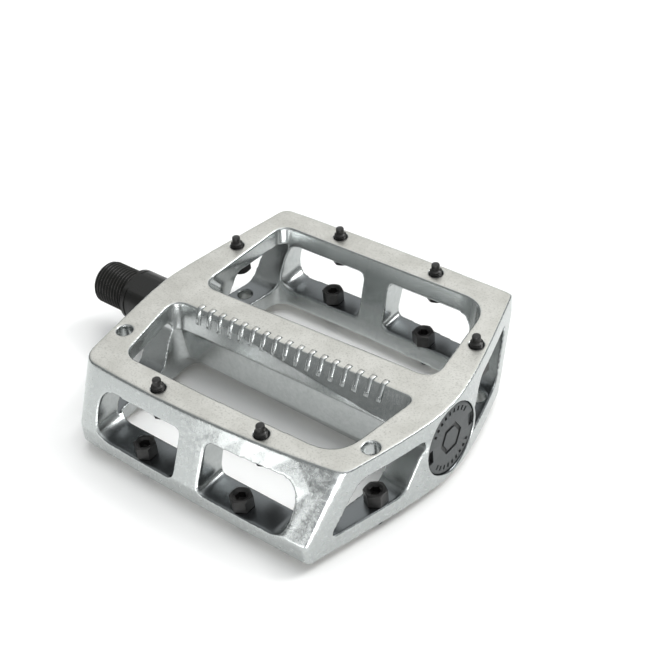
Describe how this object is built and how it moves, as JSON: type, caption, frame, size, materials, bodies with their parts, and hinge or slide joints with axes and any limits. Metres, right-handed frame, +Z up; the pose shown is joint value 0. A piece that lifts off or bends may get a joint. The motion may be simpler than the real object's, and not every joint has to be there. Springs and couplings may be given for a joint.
{
  "type": "flat pedal",
  "caption": "Right-hand platform bicycle pedal: open aluminium cage with grip pins, turning on a threaded steel spindle in a bushing and ball bearings.",
  "frame": {"origin": "on the spindle's axis, in the face of its shoulder that seats on the crank arm", "axes": "+X along the spindle from the crank outwards, -Y towards the edge that leads when the pedal lies flat, +Z up"},
  "size_m": [0.1373, 0.1012, 0.0316],
  "materials": {
    "bare_aluminium": "raw cast and tumbled, satin",
    "blackened_steel": "black oxide, semi-gloss",
    "bright_steel": "ground",
    "bearing_bronze": "sintered",
    "grey_cap": "moulded, matte",
    "bearing_cover": "moulded",
    "black_rubber": "matte"
  },
  "bodies": {
    "spindle_group": {"spindle": "blackened_steel", "inner_bearing_inner_race": "bright_steel", "outer_bearing_inner_race": "bright_steel", "lock_washer": "bright_steel", "lock_nut": "bright_steel"},
    "cage_group": {"cage": "bare_aluminium", "bushing": "bearing_bronze", "inboard_seal": "black_rubber", "inner_bearing_outer_race": "bright_steel", "outer_bearing_outer_race": "bright_steel", "inner_bearing_inboard_shield": "bearing_cover", "inner_bearing_outboard_shield": "bearing_cover", "outer_bearing_inboard_shield": "bearing_cover", "outer_bearing_outboard_shield": "bearing_cover", "end_cap": "grey_cap", "cap_o_ring": "black_rubber", "top_pin_short_edge_inboard": "blackened_steel", "top_pin_short_edge_outboard": "blackened_steel", "top_pin_long_edge_inboard": "blackened_steel", "top_pin_long_edge_outboard": "blackened_steel", "top_pin_inboard_rim": "blackened_steel", "top_pin_outboard_rim": "blackened_steel", "bottom_pin_short_edge_inboard": "blackened_steel", "bottom_pin_short_edge_outboard": "blackened_steel", "bottom_pin_long_edge_inboard": "blackened_steel", "bottom_pin_long_edge_outboard": "blackened_steel", "bottom_pin_inboard_rim": "blackened_steel", "bottom_pin_outboard_rim": "blackened_steel"},
    "inner_ball_set": {"inner_bearing_retainer": "bearing_cover", "inner_bearing_ball_1": "bright_steel", "inner_bearing_ball_2": "bright_steel", "inner_bearing_ball_3": "bright_steel", "inner_bearing_ball_4": "bright_steel", "inner_bearing_ball_5": "bright_steel", "inner_bearing_ball_6": "bright_steel", "inner_bearing_ball_7": "bright_steel", "inner_bearing_ball_8": "bright_steel", "inner_bearing_ball_9": "bright_steel"},
    "outer_ball_set": {"outer_bearing_retainer": "bearing_cover", "outer_bearing_ball_1": "bright_steel", "outer_bearing_ball_2": "bright_steel", "outer_bearing_ball_3": "bright_steel", "outer_bearing_ball_4": "bright_steel", "outer_bearing_ball_5": "bright_steel", "outer_bearing_ball_6": "bright_steel", "outer_bearing_ball_7": "bright_steel", "outer_bearing_ball_8": "bright_steel", "outer_bearing_ball_9": "bright_steel"}
  },
  "joints": [
    {"name": "cage_spin", "type": "hinge", "parent": "spindle_group", "child": "cage_group", "pos_m": [0, 0, 0], "axis": [1, 0, 0], "continuous": true},
    {"name": "inner_balls_spin", "type": "hinge", "parent": "spindle_group", "child": "inner_ball_set", "pos_m": [0, 0, 0], "axis": [1, 0, 0], "continuous": true},
    {"name": "outer_balls_spin", "type": "hinge", "parent": "spindle_group", "child": "outer_ball_set", "pos_m": [0, 0, 0], "axis": [1, 0, 0], "continuous": true}
  ],
  "couplings": [
    {"joint": "inner_balls_spin", "follows": "cage_spin", "ratio": 0.5829},
    {"joint": "outer_balls_spin", "follows": "cage_spin", "ratio": 0.5829}
  ]
}
